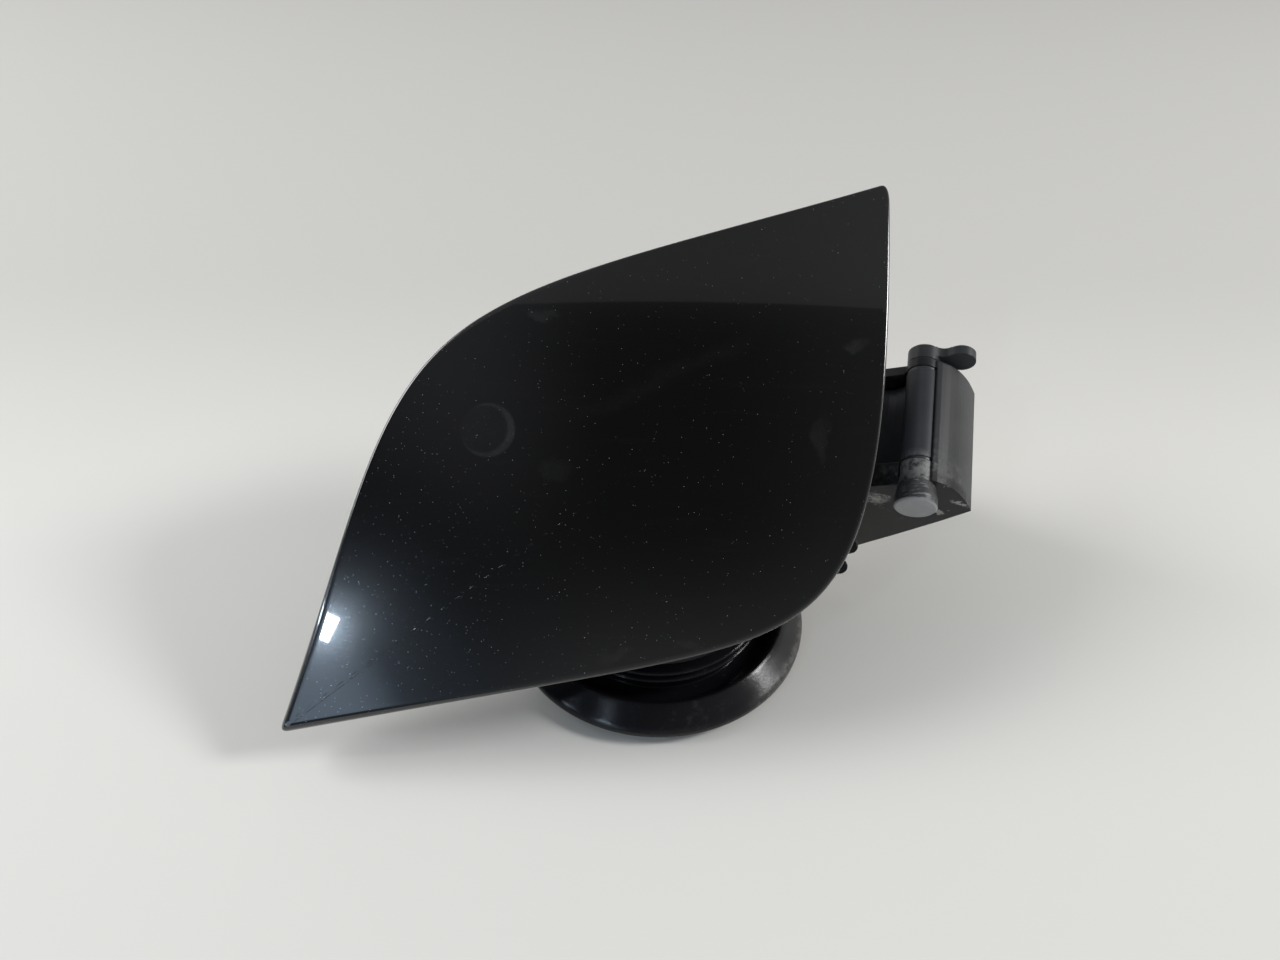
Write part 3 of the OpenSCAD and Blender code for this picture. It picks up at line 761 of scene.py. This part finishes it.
class FUELDOOR_PG_studio(bpy.types.PropertyGroup):
    """Floor, lamps and camera."""

    floor_colour: colour_of("Floor", "Pale studio floor", (0.695, 0.684, 0.651))
    # Painted shade on the floor behind the part
    far_floor_shade: colour_of("Far floor", "Pale floor behind the part", (0.55, 0.54, 0.515))
    horizon: colour_of("Surround", "Pale studio surround", (0.66, 0.652, 0.635))
    front: colour_of("Front", "Dim surround in front, as reflections see it", (0.46, 0.46, 0.46))
    front_left: colour_of("Front's left", "Darker surround beside the low window", (0.16, 0.19, 0.235))
    ceiling_edge: colour_of("Ceiling's right", "Dim ceiling on the right", (0.15, 0.152, 0.155))
    ceiling_left: colour_of("Ceiling's left", "Ceiling lit a little by the window", (0.2, 0.205, 0.22))
    glow_colour: colour_of("Window glow", "Bluish light of the low window on the left", (0.62, 0.79, 1.0))
    glow_level: FloatProperty(
        name="Glow level", description="Strength of the low window's glow", default=2.0, min=0
    )
    glow_aim: FloatVectorProperty(
        name="Glow aim",
        description="Direction of the low window",
        default=(-0.47, -0.72, 0.51),
        subtype="DIRECTION",
    )
    ceiling: colour_of("Ceiling", "Dim studio ceiling", (0.062, 0.063, 0.064))
    top_power: power_of("Top lamp", "Power of the overhead soft box", 1.8)
    side_power: power_of("Side lamps", "Power of each side soft box", 16.0)
    window_power: power_of("Window", "Power of the small front lamp", 1.0)
    window_colour: colour_of("Window colour", "Bluish daylight of the front lamp", (0.7, 0.85, 1.0))
    rim_power: power_of("Rim light", "Power of the narrow lamp on the left", 1.6)
    lens: FloatProperty(name="Lens", description="Focal length in millimetres", default=27, min=5)
    camera_place: FloatVectorProperty(
        name="Camera",
        description="Camera's place",
        default=(-0.0051, -0.1895, 0.2238),
        unit="LENGTH",
        subtype="TRANSLATION",
    )
    camera_pitch: FloatProperty(
        name="Tilt",
        description="Angle of the view below the horizon",
        default=math.radians(41.4),
        subtype="ANGLE",
    )


# Operators


class FUELDOOR_OT_skin(bpy.types.Operator):
    """Make the painted skin with its rolled rim and studs"""

    bl_idname = "fueldoor.skin"
    bl_label = "Painted Skin"

    def execute(self, context):
        scene = context.scene
        mesh = skin_mesh(scene.fueldoor_skin)
        place_on_door(mesh)
        skin = new_object("painted_skin", mesh, gloss_paint(scene.fueldoor_finish), "door")
        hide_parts("outer_panel")
        return {"FINISHED"}


class FUELDOOR_OT_housing(bpy.types.Operator):
    """Give the bowl, pin keeper, lock and band their worn black plastic"""

    bl_idname = "fueldoor.housing"
    bl_label = "Housing Finish"

    def execute(self, context):
        s = context.scene.fueldoor_finish
        dress(housing_plastic(s), "filler_bowl")
        dress(black_plastic("keeper_plastic", s, 0.8, pale=2.2, sheen=0.3), "pin_keeper")
        dress(black_plastic("lock_plastic", s, 0.5), "lock_body", "cuff_band")
        return {"FINISHED"}


class FUELDOOR_OT_carrier(bpy.types.Operator):
    """Give the carrier, arm and striker their satin plastic"""

    bl_idname = "fueldoor.carrier"
    bl_label = "Carrier Finish"

    def execute(self, context):
        s = context.scene.fueldoor_finish
        satin = black_plastic("carrier_plastic_satin", s, 0.7, 0.7, pale=3.4, sheen=0.1, rubbed_end_and_ridge_highlight=0.6)
        dress(satin, "inner_panel")
        dress(pale_plastic("striker_plastic", (0.06, 0.06, 0.062), (0.1, 0.1, 0.104)), "striker")
        return {"FINISHED"}


class FUELDOOR_OT_hinge(bpy.types.Operator):
    """Give the pin, washers and hinge spring their finishes"""

    bl_idname = "fueldoor.hinge"
    bl_label = "Hinge Finish"

    def execute(self, context):
        dress(pin_plastic(context.scene.fueldoor_finish), "hinge_pin")
        washers = pale_plastic("washer_plastic_worn", (0.03, 0.03, 0.032), (0.05, 0.05, 0.052))
        dress(washers, "hinge_washers")
        dress(bright_steel("spring_strip_steel", (0.5, 0.5, 0.52), 0.32), "hinge_spring", "push_nuts")
        dress(bright_steel("turned_steel", (0.58, 0.58, 0.6), 0.26), "lock_bolt", "lock_screws")
        return {"FINISHED"}


class FUELDOOR_OT_seals(bpy.types.Operator):
    """Give the seals and buffers their rubber"""

    bl_idname = "fueldoor.seals"
    bl_label = "Rubber Finish"

    def execute(self, context):
        rubber = seal_rubber(context.scene.fueldoor_finish)
        dress(rubber, "neck_seal", "rim_seal", "door_buffers", "bolt_seal")
        return {"FINISHED"}


def add_lamp(name, place, aim, size, power, colour=(1, 1, 1), upright=(0, 0, 1)):
    """A rectangular soft box at a place, facing an aim point, its height towards upright."""
    data = bpy.data.lights.new(name, "AREA")
    data.shape = "RECTANGLE"
    data.size, data.size_y = size
    data.energy = power
    lamp = bpy.data.objects.new(name, data)
    bpy.context.scene.collection.objects.link(lamp)
    lamp.location = place
    back = (Vector(place) - Vector(aim)).normalized()
    across = Vector(upright).cross(back).normalized()
    lamp.rotation_euler = Matrix((across, back.cross(across), back)).transposed().to_euler()
    lamp.visible_camera = False
    data.color = colour


def around(tree, near, outer, inner):
    """1 within the inner angle of a direction, falling to 0 at the outer one; angles in degrees."""
    return tree.step(near, math.cos(math.radians(outer)), math.cos(math.radians(inner)))


def surround(s):
    """Pale to the camera; the part sees a dim ceiling and front, and a low window on the left."""
    world = bpy.data.worlds.new("studio_surround")
    bpy.context.scene.world = world
    tree = Tree(world)
    direction = tree.add("ShaderNodeTexCoord")["Generated"]
    side, depth, height = tree.parts(direction)
    near = tree.along(direction, Vector(s.glow_aim).normalized())
    glow = around(tree, near, 9.5, 4.5) * 0.9 + around(tree, near, 18, 6) * 0.1
    front = tree.step(depth, 0.15, -0.35)
    before = tree.blend(tree.step(side, 0.0, -0.3), tuple(s.front), tuple(s.front_left))
    level = tree.blend(front, tuple(s.horizon), before)
    above = tree.blend(tree.step(side, 0.1, 0.45), tuple(s.ceiling), tuple(s.ceiling_edge))
    left = tree.step(side, -0.05, -0.3) * tree.step(height, 0.74, 0.9)
    above = tree.blend(left, above, tuple(s.ceiling_left))
    lit = tree.blend(tree.step(height, 0.5, 0.82), level, above)
    lit = tree.blend(glow, lit, shaded(s.glow_colour, s.glow_level))
    seen = tree.add("ShaderNodeLightPath")["Is Camera Ray"]
    colour = tree.blend(seen, lit, tuple(s.horizon))
    shade = tree.add("ShaderNodeBackground", None, {"Color": colour, "Strength": 1.0})
    tree.add("ShaderNodeOutputWorld", None, {"Surface": shade["Background"]})


def floor_finish(s):
    """Matt pale board with painted shade behind the part, that meets the surround far off."""
    material = bpy.data.materials.new("studio_floor")
    tree = Tree(material)
    point = tree.place()
    _, depth, _ = tree.parts(point)
    cloud = tree.noise(point, 6, 3, 0.5)
    base = tuple(s.floor_colour)
    colour = tree.blend(cloud, shaded(base, 0.97), base)
    # Painted shade: the floor darkens behind the part
    colour = tree.blend(tree.step(depth, 0.02, 0.22), colour, tuple(s.far_floor_shade))
    matt = {"Base Color": colour, "Roughness": 0.7, "Specular IOR Level": 0.2}
    board = tree.add("ShaderNodeBsdfPrincipled", None, matt)
    # Far off, beyond the lamps, the camera and reflections see the surround's own colour
    distance = tree.length(point)
    path = tree.add("ShaderNodeLightPath")
    seen = (path["Is Camera Ray"] + path["Is Glossy Ray"] + path["Is Transmission Ray"]).at_most(1)
    haze = tree.add("ShaderNodeEmission", None, {"Color": tuple(s.horizon), "Strength": 1.0})
    far = tree.step(distance, 0.9, 2.0)
    mixed = tree.add("ShaderNodeMixShader", None, {0: far * seen, 1: board["BSDF"], 2: haze["Emission"]})
    tree.add("ShaderNodeOutputMaterial", None, {"Surface": mixed["Shader"]})
    return material


# Half the floor's width, and the nearest that the camera sees, in metres; its sensor is in mm
FLOOR_REACH = 6
CLIP_START = 0.01
SENSOR_WIDTH = 36
# Where the side lamps point to, and where the two narrow ones on the left do, in metres
MIDDLE = (0, 0, 0.05)
LOW_TIP_AIM = (-0.09, -0.03, 0.03)
# Upright of the rim light, which slants
SLANT = (0.395, -0.724, 0.566)


def add_floor(s):
    mesh = bmesh.new()
    bmesh.ops.create_grid(mesh, x_segments=1, y_segments=1, size=FLOOR_REACH)
    data = bpy.data.meshes.new("studio_floor")
    mesh.to_mesh(data)
    mesh.free()
    data.materials.append(floor_finish(s))
    floor = bpy.data.objects.new("studio_floor", data)
    bpy.context.scene.collection.objects.link(floor)


def add_camera(s):
    data = bpy.data.cameras.new("camera")
    data.sensor_fit = "HORIZONTAL"
    data.sensor_width = SENSOR_WIDTH
    data.lens = s.lens
    data.clip_start = CLIP_START
    camera = bpy.data.objects.new("camera", data)
    bpy.context.scene.collection.objects.link(camera)
    camera.location = s.camera_place
    camera.rotation_euler = (math.pi / 2 - s.camera_pitch, 0, 0)
    bpy.context.scene.camera = camera


class FUELDOOR_OT_stage(bpy.types.Operator):
    """Make the floor, lamps, surround and camera"""

    bl_idname = "fueldoor.stage"
    bl_label = "Stage"

    def execute(self, context):
        s = context.scene.fueldoor_studio
        add_floor(s)
        surround(s)
        # The overhead box's front edge is the level line seen in the upper part of the paint
        add_lamp("top_box", (0.0, 0.46, 1.15), (0.0, 0.46, 0.0), (2.0, 1.5), s.top_power, upright=(0, 1, 0))
        add_lamp("left_box", (-1.25, 0.25, 1.0), MIDDLE, (0.8, 0.8), s.side_power)
        add_lamp("right_box", (1.38, -0.04, 0.98), MIDDLE, (0.36, 0.36), s.side_power)
        blue = s.window_colour
        add_lamp("window", (-0.746, -0.973, 0.99), LOW_TIP_AIM, (0.04, 0.06), s.window_power, blue)
        # A tall strip, seen as the thin streak on the rim beside the window's reflection
        add_lamp("rim_light", (-1.038, -0.316, 0.514), LOW_TIP_AIM, (0.03, 0.6), s.rim_power, blue, SLANT)
        add_camera(s)
        context.scene.view_settings.view_transform = "Standard"
        return {"FINISHED"}


class FUELDOOR_PT_panel(bpy.types.Panel):
    """Lists the pieces and their settings"""

    bl_label = "Fuel Door"
    bl_idname = "FUELDOOR_PT_panel"
    bl_space_type = "VIEW_3D"
    bl_region_type = "UI"
    bl_category = "Fuel Door"

    def draw(self, context):
        column = self.layout.column()
        for operator in STEPS:
            column.operator(operator.bl_idname)
        scene = context.scene
        for group in (scene.fueldoor_skin, scene.fueldoor_finish, scene.fueldoor_studio):
            for name in group.__annotations__:
                column.prop(group, name)


STEPS = (
    FUELDOOR_OT_skin,
    FUELDOOR_OT_housing,
    FUELDOOR_OT_carrier,
    FUELDOOR_OT_hinge,
    FUELDOOR_OT_seals,
    FUELDOOR_OT_stage,
)
CLASSES = (FUELDOOR_PG_finish, FUELDOOR_PG_skin, FUELDOOR_PG_studio, *STEPS, FUELDOOR_PT_panel)


def register():
    for item in CLASSES:
        bpy.utils.register_class(item)
    bpy.types.Scene.fueldoor_finish = PointerProperty(type=FUELDOOR_PG_finish)
    bpy.types.Scene.fueldoor_skin = PointerProperty(type=FUELDOOR_PG_skin)
    bpy.types.Scene.fueldoor_studio = PointerProperty(type=FUELDOOR_PG_studio)


def unregister():
    del bpy.types.Scene.fueldoor_studio
    del bpy.types.Scene.fueldoor_skin
    del bpy.types.Scene.fueldoor_finish
    for item in reversed(CLASSES):
        bpy.utils.unregister_class(item)


def main():
    register()
    bpy.ops.fueldoor.skin()
    bpy.ops.fueldoor.housing()
    bpy.ops.fueldoor.carrier()
    bpy.ops.fueldoor.hinge()
    bpy.ops.fueldoor.seals()
    bpy.ops.fueldoor.stage()
    bpy.context.view_layer.update()


if __name__ == "__main__":
    main()
